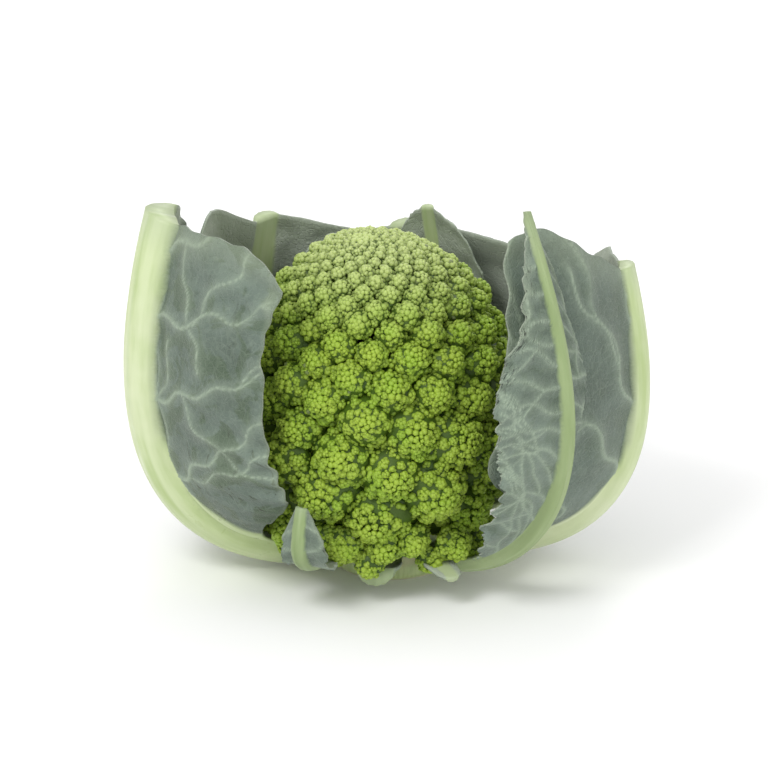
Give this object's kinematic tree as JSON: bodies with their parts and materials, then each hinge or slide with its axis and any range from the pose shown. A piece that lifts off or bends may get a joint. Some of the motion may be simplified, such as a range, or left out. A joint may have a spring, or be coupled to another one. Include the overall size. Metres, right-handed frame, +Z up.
{
  "type": "romanesco head",
  "caption": "Trimmed romanesco head with spiralling conical florets inside a bowl of cut wrapper leaves, standing on its cut butt.",
  "frame": {"origin": "middle of the cut butt, on the surface that the head stands on", "axes": "+Z up the head's stalk, +X to the right and +Y to the back as seen from the front, where the bowl of leaves is open"},
  "size_m": [0.2072, 0.1841, 0.1717],
  "materials": {
    "stalk": "moist pale green stem, cut across at the butt",
    "curd": "matte yellow-green flower buds",
    "leaf": "waxy grey-green leaf with a pale midrib"
  },
  "bodies": {
    "root": {"stalk": "stalk", "crown": "curd", "floret_01": "curd", "floret_02": "curd", "floret_03": "curd", "floret_04": "curd", "floret_05": "curd", "floret_06": "curd", "floret_07": "curd", "floret_08": "curd", "floret_09": "curd", "floret_10": "curd", "floret_11": "curd", "floret_12": "curd", "floret_13": "curd", "floret_14": "curd", "floret_15": "curd", "floret_16": "curd", "floret_17": "curd", "floret_18": "curd", "floret_19": "curd", "floret_20": "curd", "floret_21": "curd", "floret_22": "curd", "floret_23": "curd", "floret_24": "curd", "floret_25": "curd", "floret_26": "curd", "floret_27": "curd", "floret_28": "curd", "floret_29": "curd", "floret_30": "curd", "floret_31": "curd", "floret_32": "curd", "floret_33": "curd", "floret_34": "curd", "floret_35": "curd", "floret_36": "curd", "floret_37": "curd", "floret_38": "curd", "floret_39": "curd", "floret_40": "curd", "floret_41": "curd", "floret_42": "curd", "floret_43": "curd", "floret_44": "curd", "outer_leaf_left": "leaf", "outer_leaf_right": "leaf", "outer_leaf_back": "leaf", "front_leaf_right": "leaf", "back_leaf_left": "leaf", "back_leaf_right": "leaf", "inner_leaf_left": "leaf", "inner_leaf_back": "leaf", "inner_leaf_right": "leaf", "small_leaf_front": "leaf", "small_leaf_right": "leaf", "cut_leaf_base": "leaf"}
  },
  "joints": []
}
